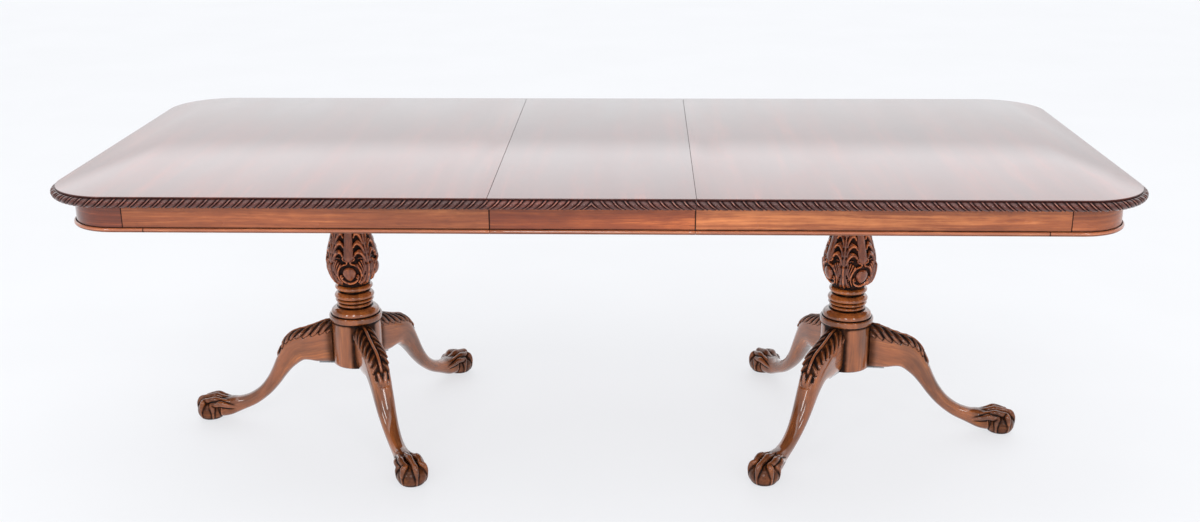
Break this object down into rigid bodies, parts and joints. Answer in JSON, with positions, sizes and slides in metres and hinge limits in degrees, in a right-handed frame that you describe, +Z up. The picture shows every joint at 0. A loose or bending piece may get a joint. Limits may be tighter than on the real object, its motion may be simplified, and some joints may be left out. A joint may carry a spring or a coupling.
{
  "type": "double pedestal extending dining table",
  "caption": "Rectangular dining table on twin tripod pedestals, with a carved edge and a loose leaf between half tops that slide apart.",
  "frame": {"origin": "on the floor under the middle of the leaf", "axes": "+X along the table to the right half, +Y from the front edge to the back edge, +Z up"},
  "size_m": [2.414, 1.08, 0.762],
  "materials": {
    "polished_mahogany": "polished",
    "carved_mahogany": "satin",
    "apron_mahogany": "polished",
    "pedestal_mahogany": "polished",
    "slide_beech": "plain",
    "zinc_steel": "satin",
    "brass": "polished",
    "nylon": "matte"
  },
  "bodies": {
    "slide_frame": {"centre_front_rail": "slide_beech", "centre_back_rail": "slide_beech", "left_tie": "slide_beech", "right_tie": "slide_beech", "pinion_pins": "zinc_steel"},
    "left_half": {"left_top": "polished_mahogany", "left_gadroon": "carved_mahogany", "left_front_apron": "apron_mahogany", "left_back_apron": "apron_mahogany", "left_end_apron": "apron_mahogany", "left_front_corner_apron": "apron_mahogany", "left_back_corner_apron": "apron_mahogany", "left_bead": "apron_mahogany", "left_front_rail": "slide_beech", "left_back_rail": "slide_beech", "left_front_rack": "slide_beech", "left_back_rack": "slide_beech", "left_bearer": "slide_beech", "left_cleat": "slide_beech", "left_column": "pedestal_mahogany", "left_outer_leg": "pedestal_mahogany", "left_back_leg": "pedestal_mahogany", "left_front_leg": "pedestal_mahogany", "left_leg_plate": "zinc_steel", "left_plate_screws": "zinc_steel", "left_glides": "nylon", "left_screws": "zinc_steel", "left_leaf_pins": "brass"},
    "right_half": {"right_top": "polished_mahogany", "right_gadroon": "carved_mahogany", "right_front_apron": "apron_mahogany", "right_back_apron": "apron_mahogany", "right_end_apron": "apron_mahogany", "right_front_corner_apron": "apron_mahogany", "right_back_corner_apron": "apron_mahogany", "right_bead": "apron_mahogany", "right_front_rail": "slide_beech", "right_back_rail": "slide_beech", "right_front_rack": "slide_beech", "right_back_rack": "slide_beech", "right_bearer": "slide_beech", "right_cleat": "slide_beech", "right_column": "pedestal_mahogany", "right_outer_leg": "pedestal_mahogany", "right_back_leg": "pedestal_mahogany", "right_front_leg": "pedestal_mahogany", "right_leg_plate": "zinc_steel", "right_plate_screws": "zinc_steel", "right_glides": "nylon", "right_screws": "zinc_steel", "right_leaf_pins": "brass"},
    "leaf": {"leaf_top": "polished_mahogany", "leaf_gadroon": "carved_mahogany", "leaf_front_apron": "apron_mahogany", "leaf_back_apron": "apron_mahogany", "leaf_bead": "apron_mahogany"},
    "front_pinion": {"front_pinion": "nylon"},
    "back_pinion": {"back_pinion": "nylon"}
  },
  "joints": [
    {"name": "left_slide", "type": "slide", "parent": "slide_frame", "child": "left_half", "axis": [-1, 0, 0], "range_m": [0, 0.222]},
    {"name": "right_slide", "type": "slide", "parent": "slide_frame", "child": "right_half", "axis": [1, 0, 0], "range_m": [0, 0.222]},
    {"name": "leaf_lift", "type": "slide", "parent": "slide_frame", "child": "leaf", "axis": [0, 0, 1], "range_m": [0, 0.3]},
    {"name": "back_pinion_spin", "type": "hinge", "parent": "slide_frame", "child": "back_pinion", "pos_m": [0, 0.198, 0.69], "axis": [0, 0, 1], "range_deg": [0, 848]},
    {"name": "front_pinion_spin", "type": "hinge", "parent": "slide_frame", "child": "front_pinion", "pos_m": [0, -0.198, 0.69], "axis": [0, 0, -1], "range_deg": [0, 848]}
  ],
  "couplings": [
    {"joint": "right_slide", "follows": "left_slide", "ratio": 1},
    {"joint": "back_pinion_spin", "follows": "left_slide", "rad_per_m": 66.667},
    {"joint": "front_pinion_spin", "follows": "left_slide", "rad_per_m": 66.667}
  ]
}
